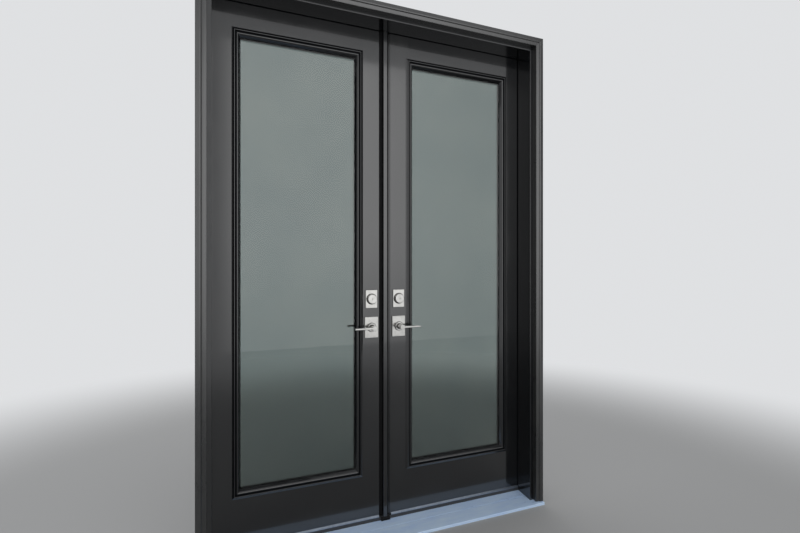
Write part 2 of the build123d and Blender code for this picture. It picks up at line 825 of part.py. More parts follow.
# Astragal on the free edge of the right leaf: flat back, raised bead, strikes let into its edge
astragal_x = free_x - astragal_width
astragal_y = face_y + astragal_set_back
astragal_z = cap_top_z + astragal_foot_gap
seal_y = astragal_y + astragal_seal_inset
strikes = (
    ("latch_strike", lever_z, latch_thickness, latch_height, latch_throw),
    ("deadbolt_strike", deadbolt_z, deadbolt_thickness, deadbolt_height, deadbolt_throw),
)
with BuildPart() as astragal:
    with BuildSketch(Plane.XY.offset(astragal_z)):
        with Locations(((astragal_x + free_x) / 2, (astragal_y + back_y) / 2)):
            Rectangle(astragal_width, back_y - astragal_y)
        with Locations((-astragal_x, face_y)):
            Rectangle(meeting_gap, back_y - face_y, align=(Align.MIN, Align.MIN))
        with Locations((astragal_x, seal_y)):
            Rectangle(2 * astragal_kerf_depth, kerf_width, mode=Mode.SUBTRACT)
    extrude(amount=leaf_top_z - astragal_z)
    with BuildSketch(Plane.XY.offset(astragal_z)) as bead_section:
        with Locations((0, (astragal_y + face_y - bead_height) / 2)):
            Rectangle(bead_width, astragal_y - face_y + bead_height)
        fillet(bead_section.vertices().group_by(Axis.Y)[0], bead_radius)
    extrude(amount=stop_z - bead_head_gap - astragal_z)
    for _, z, thickness, height, throw in strikes:
        with BuildSketch(facing_meeting(astragal_x, z)):
            RectangleRounded(strike_width, strike_height, strike_clearance)
        extrude(amount=strike_thickness, mode=Mode.SUBTRACT)
        with BuildSketch(facing_meeting(astragal_x, z)):
            Rectangle(thickness + 2 * strike_pocket_margin, height + 2 * strike_pocket_margin)
        extrude(amount=throw - meeting_gap + strike_pocket_margin, mode=Mode.SUBTRACT)
save(astragal, "astragal")

for name, z, thickness, height, _ in strikes:
    with BuildPart() as strike:
        with BuildSketch(facing_meeting(astragal_x, z)):
            RectangleRounded(strike_width, strike_height, strike_clearance)
            Rectangle(thickness + 2 * strike_clearance, height + 2 * strike_clearance, mode=Mode.SUBTRACT)
        extrude(amount=strike_thickness)
        face = Plane(origin=(astragal_x, mid_y, z), x_dir=(0, -1, 0), z_dir=(-1, 0, 0))
        plate_screws(face, strike_width, strike_height, strike_thickness)
    save(strike, name)

with BuildPart() as astragal_seal:
    with BuildSketch(Plane.XY.offset(astragal_z)):
        with Locations((astragal_x - astragal_seal_width / 2, seal_y)):
            RectangleRounded(astragal_seal_width, astragal_seal_depth, astragal_seal_corner)
        with Locations((astragal_x - overlap, seal_y)):
            Rectangle(overlap + seal_barb_length, seal_barb_thickness, align=(Align.MIN, Align.CENTER))
    extrude(amount=leaf_top_z - astragal_z)
save(astragal_seal, "astragal_seal")


def bolt_case(z, thickness, height, corner):
    """Tubular case with its faceplate, let into the free edge of the left leaf."""
    with BuildPart() as case:
        with BuildSketch(facing_meeting(-free_x, z)):
            RectangleRounded(faceplate_width, faceplate_height, faceplate_corner)
        extrude(amount=-faceplate_thickness)
        with BuildSketch(facing_meeting(-free_x - faceplate_thickness, z)):
            Circle(case_radius)
            Circle(case_radius - case_wall, mode=Mode.SUBTRACT)
        extrude(amount=-case_length)
        with BuildSketch(facing_meeting(-free_x, z)):
            RectangleRounded(thickness + 2 * bolt_clearance, height + 2 * bolt_clearance, corner)
        extrude(amount=-faceplate_thickness, mode=Mode.SUBTRACT)
        with BuildSketch(leaf_mid_plane):
            with Locations((-lock_x, z)):
                Circle(case_cross_hole)
        extrude(amount=leaf_thickness, both=True, mode=Mode.SUBTRACT)
        plate_screws(facing_meeting(-free_x, z), faceplate_width, faceplate_height, faceplate_thickness)
    return case


save(bolt_case(deadbolt_z, deadbolt_thickness, deadbolt_height, deadbolt_corner), "deadbolt_case")
save(bolt_case(lever_z, latch_thickness, latch_height, latch_corner), "latch_case")

# Deadbolt, drawn back flush with its faceplate, with the tail that its cam pushes
bolt_tip_x = -free_x - bolt_clearance
with BuildPart() as deadbolt:
    with BuildSketch(facing_meeting(bolt_tip_x, deadbolt_z)):
        RectangleRounded(deadbolt_thickness, deadbolt_height, deadbolt_corner)
    extrude(amount=-deadbolt_length)
    tail_end = bolt_tip_x - deadbolt_length - deadbolt_tail_length
    tail_z = deadbolt_z - deadbolt_height / 2
    block(
        (tail_end, bolt_tip_x - deadbolt_length + overlap),
        (mid_y - deadbolt_tail_thickness / 2, mid_y + deadbolt_tail_thickness / 2),
        (tail_z, tail_z + deadbolt_tail_height),
    )
save(deadbolt, "deadbolt")

# Latch bolt, held back flush, bevelled on the side that meets its strike
with BuildPart() as latch_bolt:
    with BuildSketch(facing_meeting(bolt_tip_x, lever_z)):
        RectangleRounded(latch_thickness, latch_height, latch_corner)
    extrude(amount=-latch_length)
    latch_out_y = mid_y - latch_thickness / 2
    with BuildSketch(Plane.XY.offset(lever_z)):
        with BuildLine():
            Polyline(
                (bolt_tip_x - latch_bevel_length, latch_out_y),
                (bolt_tip_x, latch_out_y + latch_bevel_width),
                (bolt_tip_x + overlap, latch_out_y + latch_bevel_width),
                (bolt_tip_x + overlap, latch_out_y - overlap),
                (bolt_tip_x - latch_bevel_length, latch_out_y - overlap),
                close=True,
            )
        make_face()
    extrude(amount=latch_height, both=True, mode=Mode.SUBTRACT)
save(latch_bolt, "latch_bolt")

# Lever rose: plate with a round collar, bored for the lever's neck, seen outside and inside
with BuildPart() as rose:
    with BuildSketch(facing_out(-lock_x, lever_z)):
        RectangleRounded(rose_width, rose_height, plate_corner)
    extrude(amount=rose_depth)
    chamfer(edges().group_by(Axis.Y)[0], rose_chamfer)
    with BuildSketch(facing_out(-lock_x, lever_z)):
        Circle(rose_collar_radius)
    extrude(amount=rose_depth + rose_collar_depth)
    fillet(edges().group_by(Axis.Y)[0], rose_collar_arris)
    with BuildSketch(facing_out(-lock_x, lever_z)):
        Circle(neck_root_radius + bolt_clearance)
    extrude(amount=rose_depth + rose_collar_depth, mode=Mode.SUBTRACT)
with BuildPart() as lever_roses_left:
    add(rose.part)
    mirror(rose.part, about=leaf_mid_plane)
save(lever_roses_left, "lever_roses_left")
save_mirrored(lever_roses_left, "lever_roses_right")

# Lever without spindle: turned neck and a tapered bar towards the hinge side
neck_foot = rose_depth + rose_collar_depth + neck_foot_height
neck_waist = neck_foot + neck_cove_height
neck_head = lever_projection - neck_head_depth
with BuildPart() as lever_blank:
    with BuildSketch(Plane(origin=(-lock_x, face_y, lever_z), x_dir=(0, 0, 1), z_dir=(1, 0, 0))):
        with BuildLine():
            Polyline((0, -neck_inset), (neck_root_radius, -neck_inset), (neck_root_radius, neck_foot))
            TangentArc((neck_waist_radius, neck_waist), (neck_root_radius, neck_foot), tangent=(0, -1))
            Polyline(
                (neck_waist_radius, neck_waist),
                (neck_waist_radius, neck_head - neck_head_taper),
                (neck_head_radius, neck_head),
                (neck_head_radius, lever_projection - neck_head_edge),
                (neck_head_radius - neck_head_edge, lever_projection),
                (0, lever_projection),
                (0, -neck_inset),
            )
        make_face()
    revolve(axis=Axis((-lock_x, face_y, lever_z), (0, -1, 0)))
    bar_y = face_y - lever_projection + neck_head_depth / 2
    for_bar = Plane(origin=(-lock_x, bar_y, lever_z), x_dir=(0, 1, 0), z_dir=(-1, 0, 0))
    with BuildSketch(for_bar):
        RectangleRounded(lever_bar_depth, lever_bar_height, lever_bar_corner)
    with BuildSketch(for_bar.offset(lever_length)):
        RectangleRounded(lever_tip_depth, lever_tip_height, lever_bar_corner)
    loft()

spindle_end = back_y + spindle_socket_depth - neck_inset
with BuildPart() as lever_outside_left:
    add(lever_blank.part)
    with BuildSketch(facing_out(-lock_x, lever_z)):
        Rectangle(spindle_size, spindle_size)
    extrude(amount=face_y - spindle_end)
save(lever_outside_left, "lever_outside_left")

with BuildPart() as lever_inside_left:
    mirror(lever_blank.part, about=leaf_mid_plane)
    with BuildSketch(facing_out(-lock_x, lever_z)):
        Rectangle(spindle_size + 2 * socket_clearance, spindle_size + 2 * socket_clearance)
    extrude(amount=face_y - spindle_end - bolt_clearance, mode=Mode.SUBTRACT)
save(lever_inside_left, "lever_inside_left")
save_mirrored(lever_outside_left, "lever_outside_right")
save_mirrored(lever_inside_left, "lever_inside_right")


def trim_plate(bore):
    """Plate of a deadbolt trim with a bore for what turns in it."""
    with BuildSketch(facing_out(-lock_x, deadbolt_z)) as plate:
        RectangleRounded(trim_width, trim_height, plate_corner)
        if bore:
            Circle(bore, mode=Mode.SUBTRACT)
    extrude(plate.sketch, amount=trim_depth)
    chamfer(edges().group_by(Axis.Y)[0], rose_chamfer)


collar_plane = facing_out(-lock_x, deadbolt_z).offset(trim_depth)
plug_end = trim_depth + collar_depth
with BuildPart() as collar_blank:
    with BuildSketch(collar_plane):
        Circle(collar_radius)
    with BuildSketch(collar_plane.offset(collar_depth)):
        Circle(collar_face_radius)
    loft()
    fillet(edges().group_by(Axis.Y)[0], collar_arris)

# Outside trim of the left deadbolt, and the key plug that turns in it with its tailpiece
with BuildPart() as deadbolt_trim_outside:
    trim_plate(0)
    add(collar_blank.part)
    with BuildSketch(facing_out(-lock_x, deadbolt_z)):
        Circle(plug_radius)
    extrude(amount=plug_end, mode=Mode.SUBTRACT)
save(deadbolt_trim_outside, "deadbolt_trim_outside")

tail_end_y = back_y + tail_socket_depth - tail_end_gap
with BuildPart() as key_plug:
    with BuildSketch(facing_out(-lock_x, deadbolt_z)):
        Circle(plug_radius - plug_clearance)
    extrude(amount=plug_end)
    with BuildSketch(facing_out(-lock_x, deadbolt_z).offset(plug_end)):
        SlotOverall(keyway_height, keyway_width, rotation=90)
    extrude(amount=-keyway_depth, mode=Mode.SUBTRACT)
    with BuildSketch(facing_out(-lock_x, deadbolt_z)):
        Rectangle(tail_thickness, tail_width)
    extrude(amount=face_y - tail_end_y)
save(key_plug, "key_plug")

# Inside trim and thumbturn of the left deadbolt
with BuildPart() as inside_plate:
    trim_plate(thumb_hub_radius)
with BuildPart() as deadbolt_trim_inside:
    mirror(inside_plate.part, about=leaf_mid_plane)
save(deadbolt_trim_inside, "deadbolt_trim_inside")

facing_in = Plane(origin=(-lock_x, back_y, deadbolt_z), x_dir=(-1, 0, 0), z_dir=(0, 1, 0))
hub_top = trim_depth + thumb_hub_depth
with BuildPart() as thumbturn:
    with BuildSketch(facing_in):
        Circle(thumb_hub_radius - plug_clearance)
    extrude(amount=hub_top)
    with BuildSketch(facing_in.offset(hub_top)):
        SlotOverall(thumb_blade_height, thumb_blade_width, rotation=90)
    extrude(amount=thumb_blade_depth)
    with BuildSketch(facing_in):
        Rectangle(tail_thickness + 2 * socket_clearance, tail_width + 2 * socket_clearance)
    extrude(amount=tail_socket_depth, mode=Mode.SUBTRACT)
save(thumbturn, "thumbturn")

# Fixed deadbolt trims of the right leaf: a keyed face outside and a plain boss inside
with BuildPart() as dummy_outside:
    trim_plate(0)
    add(collar_blank.part)
    with BuildSketch(facing_out(-lock_x, deadbolt_z).offset(plug_end)):
        SlotOverall(keyway_height, keyway_width, rotation=90)
    extrude(amount=-keyway_depth, mode=Mode.SUBTRACT)
with BuildPart() as dummy_inside:
    trim_plate(0)
    with BuildSketch(collar_plane):
        Circle(collar_radius)
    extrude(amount=dummy_boss_depth)
with BuildPart() as dummy_trims_right:
    mirror(dummy_outside.part, about=Plane.YZ)
    mirror(mirror(dummy_inside.part, about=Plane.YZ, mode=Mode.PRIVATE), about=leaf_mid_plane)
save(dummy_trims_right, "dummy_trims_right")

# Gear case of the right leaf's bolts, round the spindle
with BuildPart() as bolt_gear_case:
    with BuildSketch(Plane.XY.offset(lever_z - gear_case_height / 2)):
        with Locations((lock_x, mid_y)):
            Rectangle(gear_case_width, gear_case_depth)
    extrude(amount=gear_case_height)
    with BuildSketch(Plane.XY.offset(lever_z - gear_case_height / 2 + gear_case_wall)):
        with Locations((lock_x, mid_y)):
            Rectangle(gear_case_width - 2 * gear_case_wall, gear_case_depth - 2 * gear_case_wall)
    extrude(amount=gear_case_height - 2 * gear_case_wall, mode=Mode.SUBTRACT)
    with BuildSketch(Plane.XY.offset(lever_z - gear_case_height / 2)):
        with Locations((lock_x, mid_y)):
            Circle(rod_radius + bolt_clearance)
    extrude(amount=gear_case_height, mode=Mode.SUBTRACT)
    with BuildSketch(leaf_mid_plane):
        with Locations((lock_x, lever_z)):
            Circle(case_cross_hole)
    extrude(amount=gear_case_depth, both=True, mode=Mode.SUBTRACT)
save(bolt_gear_case, "bolt_gear_case")


def shoot_bolt(rod_end, tip, name):
    """Bolt with its rod, drawn back in its channel. It runs from rod_end to tip along Z."""
    direction = 1 if tip > rod_end else -1
    with BuildPart() as bolt:
        with BuildSketch(Plane.XY.offset(rod_end)):
            with Locations((lock_x, mid_y)):
                Circle(rod_radius)
        extrude(amount=tip - rod_end)
        with BuildSketch(Plane.XY.offset(tip)):
            with Locations((lock_x, mid_y)):
                Circle(shoot_bolt_radius)
        extrude(amount=-direction * bolt_head_length)
        chamfer(edges().sort_by(Axis.Z)[-1 if direction > 0 else 0], shoot_bolt_chamfer)
    save(bolt, name)


shoot_bolt(lever_z + rod_end_gap, leaf_top_z - head_bolt_recess, "head_bolt")
shoot_bolt(lever_z - rod_end_gap, leaf_z - foot_bolt_show, "foot_bolt")
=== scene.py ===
import json
import math

import bmesh
import bpy
from mathutils import Matrix, Vector


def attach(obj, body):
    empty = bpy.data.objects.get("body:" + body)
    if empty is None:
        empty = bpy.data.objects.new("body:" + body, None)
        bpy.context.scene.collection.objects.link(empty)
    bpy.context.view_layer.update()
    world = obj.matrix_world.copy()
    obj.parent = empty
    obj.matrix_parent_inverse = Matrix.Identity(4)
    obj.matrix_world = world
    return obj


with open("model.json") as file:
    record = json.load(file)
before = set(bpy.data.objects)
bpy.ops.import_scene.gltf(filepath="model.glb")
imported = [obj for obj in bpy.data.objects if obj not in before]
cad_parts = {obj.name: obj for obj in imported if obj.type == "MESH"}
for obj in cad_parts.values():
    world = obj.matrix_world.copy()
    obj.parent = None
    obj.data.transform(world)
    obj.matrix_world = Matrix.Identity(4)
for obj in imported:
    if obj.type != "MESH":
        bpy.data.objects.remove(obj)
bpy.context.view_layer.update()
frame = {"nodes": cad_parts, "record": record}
record = frame["record"]

# Photograph's viewpoint: level camera, turned to the right, on the row frame
eye = Vector((-0.783, -2.029, 1.287))
turn_right = math.radians(22)
lens_mm = 20.475
sensor_mm = 36

# Studio, in metres and in linear colours
floor_colour = (0.4, 0.4, 0.395)
floor_fade = (2.2, 4.6)
floor_size = 80
background_colour = (0.74, 0.75, 0.765)
ambient_colour = (0.6, 0.61, 0.63)
softbox_width = 7.8
softbox_height = 4.5
front_radiance = 1.4
front_place = (0.2, -4.7, 2.3)
room_radiance = 0.95
room_place = (-0.2, 4.9, 2.3)
card_colour = (0.05, 0.05, 0.05)
card_x = 4.2
card_near_y, card_far_y = -4.5, -0.5
card_height = 5.0

# How a softbox weakens: the level at its foot and at both ends, and where each fade starts and
# ends, as shares of its height or width. Right and left are those of the front one
foot_level, foot_fade = 0.45, (-0.05, 0.42)
right_level, right_fade = 0.5, (0.6, 1.0)
left_level, left_fade = 0.2, (0.02, 0.27)
# Level of the front one's dim stretch, and the X where that starts, is full, ends to be full and
# ends
dim_level = 0.0
dim_stretch = (-1.75, -0.95, -0.82, -0.4)

# Depths, heights and distances of the CAD model, in metres. Every Y and Z is in the row frame, and
# every X is a distance from the middle
leaf_face_y = 0.112
leaf_mid_y = 0.13425
leaf_back_y = 0.1565
glass_face_y, glass_back_y = 0.1242, 0.1443
flange_y = 0.118
trim_depth = 0.008
rose_depth = 0.009
neck_depth = 0.016
lock_x = 0.072
lever_z = 0.987
deadbolt_z = 1.1267
lite_near_x, lite_far_x = 0.115, 0.721
lite_low_z, lite_high_z = 0.255, 2.347
glass_near_x, glass_far_x = 0.153, 0.683
glass_low_z, glass_high_z = 0.293, 2.309
# Reach of the quirk's floor from the moulding's outer edge, where the glazing frame gets painted
# shade
quirk_reach = (0.0135, 0.0218)
faceplate_x = 0.03
strike_x = 0.025
head_strike_z, foot_strike_z = 2.473, 0.04
frame_plate_x, door_plate_x = 0.813, 0.81
hinge_heights = (0.3548, 0.9836, 1.6124, 2.2412)

# Screws: radius of the head, radius of the shank, depth of its end, rise of the head over the plate
hinge_screw = (0.0046, 0.0021, 0.0027, -0.0001)
faceplate_screw = (0.0036, 0.0019, 0.0023, -0.0001)
strike_screw = (0.0036, 0.0019, 0.0018, -0.0001)
trim_screw = (0.0038, 0.0024, 0.004, 0.0009)
hinge_screw_pitch = 0.0254
hinge_screw_y = 0.141
hinge_screw_stagger = 0.0064
# Distance of a pair of screws from the middle of its plate
faceplate_reach = 0.021
strike_reach = 0.0275
bolt_strike_reach = 0.0225
trim_reach = 0.035
rose_reach = 0.037

# Rubber pieces. A shade gasket, a black rubber ring that paints the shade line round the foot of
# a collar or neck, is its inner radius, outer radius and thickness
shade_gasket_segments = 56
trim_shade_gasket = (0.0248, 0.0271, 0.0011)
rose_shade_gasket = (0.0208, 0.0229, 0.0010)
neck_shade_gasket = (0.0100, 0.0146, 0.0009)
pad_ribs = 9
pad_half = 0.0235
pad_front_y = 0.1
pad_rib_depth = 0.0009
# Astragal strips: black rubber that also paints the shade of the recessed flanges
strip_low, strip_high = 0.042, 2.468
strip_spans = ((-0.0246, -0.0108), (0.0108, 0.0205))
strip_pitch = 0.0022
strip_floor = 0.0009
strip_rib = 0.0019
glazing_seal_radius = 0.0013


def node(tree, kind, **values):
    """A new shader node with its input values or properties set."""
    made = tree.nodes.new(kind)
    for name, value in values.items():
        key = name.replace("_", " ")
        if key in made.inputs:
            made.inputs[key].default_value = value
        else:
            setattr(made, name, value)
    return made


def maths(tree, operation, *operands):
    """The output of a math node, each of whose operands is a socket or a number."""
    made = node(tree, "ShaderNodeMath", operation=operation)
    for entry, operand in zip(made.inputs, operands):
        if isinstance(operand, bpy.types.NodeSocket):
            tree.links.new(operand, entry)
        else:
            entry.default_value = operand
    return made.outputs[0]


def ramp(tree, value, low, high, start=0.35, end=0.65, curve="LINEAR"):
    """A socket that runs from low, where a value is at start, to high, where it is at end.
    The start and end left out are those of the middle range of a noise texture."""
    made = node(
        tree, "ShaderNodeMapRange", interpolation_type=curve,
        From_Min=start, From_Max=end, To_Min=low, To_Max=high,
    )
    tree.links.new(value, made.inputs["Value"])
    return made.outputs["Result"]


def band(tree, value, start, end, soft=0.0008):
    """1 where a value lies between start and end, 0 elsewhere, with soft edges."""
    rise = ramp(tree, value, 0, 1, start, start + soft)
    fall = ramp(tree, value, 0, 1, end, end - soft)
    return maths(tree, "MULTIPLY", rise, fall)


def split_xyz(tree, vector):
    """The three coordinates of a vector socket, by name."""
    split = node(tree, "ShaderNodeSeparateXYZ")
    tree.links.new(vector, split.inputs["Vector"])
    return split.outputs


def colour_mix(tree, factor, first, second):
    """A colour that runs from first to second with a factor from 0 to 1."""
    mix = node(tree, "ShaderNodeMix", data_type="RGBA")
    mix.inputs[6].default_value = (*first, 1)
    mix.inputs[7].default_value = (*second, 1)
    tree.links.new(factor, mix.inputs[0])
    return mix.outputs[2]


def seen_share(tree):
    """1 where the camera sees a thing, mirrored or through glass too, and 0 for other light."""
    paths = node(tree, "ShaderNodeLightPath")
    met = maths(tree, "MAXIMUM", paths.outputs["Is Camera Ray"], paths.outputs["Is Glossy Ray"])
    return maths(tree, "MAXIMUM", met, paths.outputs["Is Transmission Ray"])


def surface(name, colour, roughness, metallic=0.0, **sockets):
    """A material, its node tree and its shader, with plain values on the shader's own sockets."""
    material = bpy.data.materials.new(name)
    material.use_nodes = True
    tree = material.node_tree
    shader = tree.nodes["Principled BSDF"]
    shader.inputs["Base Color"].default_value = (*colour, 1)
    shader.inputs["Roughness"].default_value = roughness
    shader.inputs["Metallic"].default_value = metallic
    for socket, value in sockets.items():
        shader.inputs[socket.replace("_", " ")].default_value = value
    return material, tree, shader


def grain(tree, size, stretch=(1, 1, 1), detail=4, roughness=0.55):
    """Noise in the row frame. size is the width of its spots in metres, and stretch lengthens them
    along an axis."""
    place = node(tree, "ShaderNodeTexCoord")
    mapping = node(tree, "ShaderNodeMapping")
    mapping.inputs["Scale"].default_value = [1 / (size * s) for s in stretch]
    noise = node(tree, "ShaderNodeTexNoise", Scale=1.0, Detail=detail, Roughness=roughness)
    tree.links.new(place.outputs["Object"], mapping.inputs["Vector"])
    tree.links.new(mapping.outputs["Vector"], noise.inputs["Vector"])
    return noise.outputs["Fac"]


def along_axis(axis, stretch):
    """That stretch along one axis and none along the others."""
    return [stretch if each == axis else 1 for each in "XYZ"]


def bump(tree, height, shader, depth, after=None):
    """Relief of that depth in metres, added to an earlier one where it is given."""
    made = node(tree, "ShaderNodeBump", Strength=1.0, Distance=depth)
    tree.links.new(height, made.inputs["Height"])
    if after:
        tree.links.new(after, made.inputs["Normal"])
    tree.links.new(made.outputs["Normal"], shader.inputs["Normal"])
    return made.outputs["Normal"]


def tint(tree, factor, shader, first, second):
    """Base colour that runs from first to second with a factor from 0 to 1."""
    tree.links.new(colour_mix(tree, factor, first, second), shader.inputs["Base Color"])


def roughen(tree, factor, shader):
    """Roughness that follows a socket."""
    tree.links.new(factor, shader.inputs["Roughness"])


def paint(name, axis, colour, dusty, rough=(0.12, 0.24), coat_roughness=0.06, wave=0.000014):
    """Exterior paint: faint brush marks along an axis, a soft wave, a gloss and a little dust."""
    stretch = along_axis(axis, 60)
    material, tree, shader = surface(
        name, colour, rough[0], Coat_Weight=1.0, Coat_Roughness=coat_roughness
    )
    ripple = grain(tree, 0.014, [s ** 0.5 for s in stretch], detail=2)
    marks = grain(tree, 0.0012, stretch)
    bump(tree, marks, shader, wave / 4, after=bump(tree, ripple, shader, wave))
    dust = grain(tree, 0.09, [s ** 0.3 for s in stretch], detail=8, roughness=0.7)
    roughen(tree, ramp(tree, dust, *rough), shader)
    tint(tree, ramp(tree, dust, 0, 1, 0.45, 0.8), shader, colour, dusty)
    return material


def casing_paint(name, axis):
    """The brickmould's paint, greyer and duller than that of the jambs and leaves."""
    return paint(name, axis, casing_black, casing_grey, (0.22, 0.4), 0.22, 0.00003)


def moulded_black(name):
    """Glazing frame: moulded, so smoother than the painted wood. The floor of its quirk, found by
    its distance from the nearest edge of the moulding, gets painted shade: no coat, little specular
    and more roughness, so it stays dark as the shade in a deeper recess would."""
    material, tree, shader = surface(name, black, 0.16, Coat_Roughness=0.05)
    bump(tree, grain(tree, 0.002, detail=3), shader, 0.000003)
    dust = grain(tree, 0.05, detail=8, roughness=0.7)
    tint(tree, ramp(tree, dust, 0, 1, 0.45, 0.8), shader, black, dusty_black)
    place = split_xyz(tree, node(tree, "ShaderNodeTexCoord").outputs["Object"])
    across, up = maths(tree, "ABSOLUTE", place["X"]), place["Z"]
    nearest = maths(tree, "MULTIPLY_ADD", across, 1, -lite_near_x)
    edges = ((across, -1, lite_far_x), (up, 1, -lite_low_z), (up, -1, lite_high_z))
    for way, sign, edge in edges:
        nearest = maths(tree, "MINIMUM", nearest, maths(tree, "MULTIPLY_ADD", way, sign, edge))
    # Painted shade on the quirk's floor: coat and specular fade out there and roughness rises
    painted_quirk_shade = band(tree, nearest, *quirk_reach)
    tree.links.new(ramp(tree, painted_quirk_shade, 0.9, 0.0, 0, 1), shader.inputs["Coat Weight"])
    tree.links.new(ramp(tree, painted_quirk_shade, 0.5, 0.05, 0, 1), shader.inputs["Specular IOR Level"])
    roughen(tree, maths(tree, "MULTIPLY_ADD", painted_quirk_shade, 0.5, ramp(tree, dust, 0.14, 0.26)), shader)
    return material


def tinted_glass(name):
    """A faintly tinted pane with a thin film of dust."""
    material, tree, shader = surface(name, glass_tint, 0.0, Transmission_Weight=1.0, IOR=1.55)
    film = grain(tree, 0.3, detail=5, roughness=0.5)
    tint(tree, ramp(tree, film, 0, 1, 0.3, 0.8), shader, glass_tint, glass_film)
    return material


def drawn_aluminium(name):
    """Sill deck: satin aluminium, drawn with fine lines along its length, scuffed and dusty."""
    material, tree, shader = surface(name, deck_colour, 0.38, metallic=0.12)
    lines = grain(tree, 0.0014, along_axis("X", 90), detail=3)
    scuffs = grain(tree, 0.04, along_axis("X", 4), detail=10, roughness=0.75)
    bump(tree, lines, shader, 0.00004)
    roughen(tree, ramp(tree, scuffs, 0.26, 0.55), shader)
    tint(tree, ramp(tree, scuffs, 0, 1, 0.4, 0.72), shader, deck_colour, deck_worn)
    return material


def brushed(name, colour, roughness, axis="Z", size=0.0004):
    """Metal with a fine one-way brushing."""
    material, tree, shader = surface(name, colour, roughness, metallic=1.0)
    lines = grain(tree, size, along_axis(axis, 40), detail=3)
    bump(tree, lines, shader, 0.000004)
    roughen(tree, ramp(tree, lines, roughness - 0.05, roughness + 0.07), shader)
    smears = grain(tree, 0.03, detail=6)
    darker = [c * 0.82 for c in colour]
    tint(tree, ramp(tree, smears, 0, 1, 0.4, 0.75), shader, colour, darker)
    return material


def plain(name, colour, roughness, size, relief, **sockets):
    """Plastic or rubber with a fine moulded texture."""
    material, tree, shader = surface(name, colour, roughness, **sockets)
    spots = grain(tree, size, detail=6)
    bump(tree, spots, shader, relief)
    roughen(tree, ramp(tree, spots, roughness - 0.06, roughness + 0.1), shader)
    darker = [c * 0.7 for c in colour]
    tint(tree, ramp(tree, spots, 0, 1, 0.4, 0.7), shader, colour, darker)
    return material


black = (0.0035, 0.004, 0.005)
dusty_black = (0.007, 0.0075, 0.008)
casing_black = (0.013, 0.0135, 0.014)
casing_grey = (0.034, 0.034, 0.032)
rubber_black = (0.006, 0.006, 0.0065)
spacer_black = (0.02, 0.02, 0.021)
composite_dark = (0.03, 0.032, 0.036)
nickel = (0.44, 0.435, 0.42)
zinc = (0.6, 0.61, 0.62)
drip_blue = (0.26, 0.3, 0.36)
deck_colour = (0.54, 0.71, 0.97)
deck_worn = (0.68, 0.83, 0.99)
glass_tint = (0.38, 0.43, 0.42)
glass_film = (0.43, 0.47, 0.45)

paint_upright = paint("black_paint_upright", "Z", black, dusty_black)
paint_level = paint("black_paint_level", "X", black, dusty_black)
casing_upright = casing_paint("casing_paint_upright", "Z")
casing_level = casing_paint("casing_paint_level", "X")

looks = {
    "frame_paint": paint_upright,
    "leaf_paint": paint_upright,
    "glazing_frame": moulded_black("glazing_frame_black"),
    "glass": tinted_glass("tinted_glass"),
    "spacer": plain("spacer_black", spacer_black, 0.5, 0.002, 0.00005),
    "sill_aluminium": drawn_aluminium("sill_aluminium"),
    "sill_composite": plain("composite_dark", composite_dark, 0.55, 0.001, 0.00004),
    "drip_aluminium": brushed("drip_aluminium", drip_blue, 0.3, "X", 0.0008),
    "seal_rubber": plain(
        "seal_rubber", rubber_black, 0.55, 0.0006, 0.00002, Specular_IOR_Level=0.15
    ),
    "hinge_steel": brushed("hinge_nickel", nickel, 0.26),
    "satin_nickel": brushed("satin_nickel", nickel, 0.17),
    "bolt_steel": brushed("bolt_zinc", zinc, 0.32),
}
own_looks = {
    "brickmould_left": casing_upright,
    "brickmould_right": casing_upright,
    "brickmould_head": casing_level,
    "head_jamb": paint_level,
    "top_rail_left": paint_level,
    "top_rail_right": paint_level,
    "bottom_rail_left": paint_level,
    "bottom_rail_right": paint_level,
}
for part in record["subparts"]:
    shown = frame["nodes"][part["node"]]
    shown.data.materials.clear()
    shown.data.materials.append(own_looks.get(part["node"], looks[part["material_slot"]]))


def add_object(name, data):
    """An object of that data, in the scene."""
    added = bpy.data.objects.new(name, data)
    bpy.context.scene.collection.objects.link(added)
    return added


def bridge(built, rings):
    """Quads between each ring of vertices and the next."""
    for first, second in zip(rings, rings[1:]):
        for j in range(len(first)):
            k = (j + 1) % len(first)
            built.faces.new((first[j], first[k], second[k], second[j]))


def cap(built, rings):
    """Faces over the first and the last ring."""
    built.faces.new(rings[0])
    built.faces.new(list(reversed(rings[-1])))


def finish_piece(name, body, slot_name, built, crease=25):
    """An object of a finished bmesh with its record slot's look, smooth but for its sharp edges."""
    bmesh.ops.recalc_face_normals(built, faces=built.faces)
    mesh = bpy.data.meshes.new(name)
    built.to_mesh(mesh)
    built.free()
    mesh.materials.append(looks[slot_name])
    mesh.shade_smooth()
    mesh.set_sharp_from_angle(angle=math.radians(crease))
    piece = add_object(name, mesh)
    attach(piece, body)


# Screws
def cross_outline(arm, reach):
    """Angles and radii round a cross recess, from the middle of one arm's end all the way round."""
    corner = math.atan2(arm, reach)
    quarter = [
        (0, reach),
        (corner, reach / math.cos(corner)),
        ((corner + math.pi / 4) / 2, arm / math.sin((corner + math.pi / 4) / 2)),
        (math.pi / 4, arm * math.sqrt(2)),
    ]
    quarter += [(math.pi / 2 - angle, radius) for angle, radius in reversed(quarter[1:3])]
    return [(angle + turn * math.pi / 2, radius) for turn in range(4) for angle, radius in quarter]


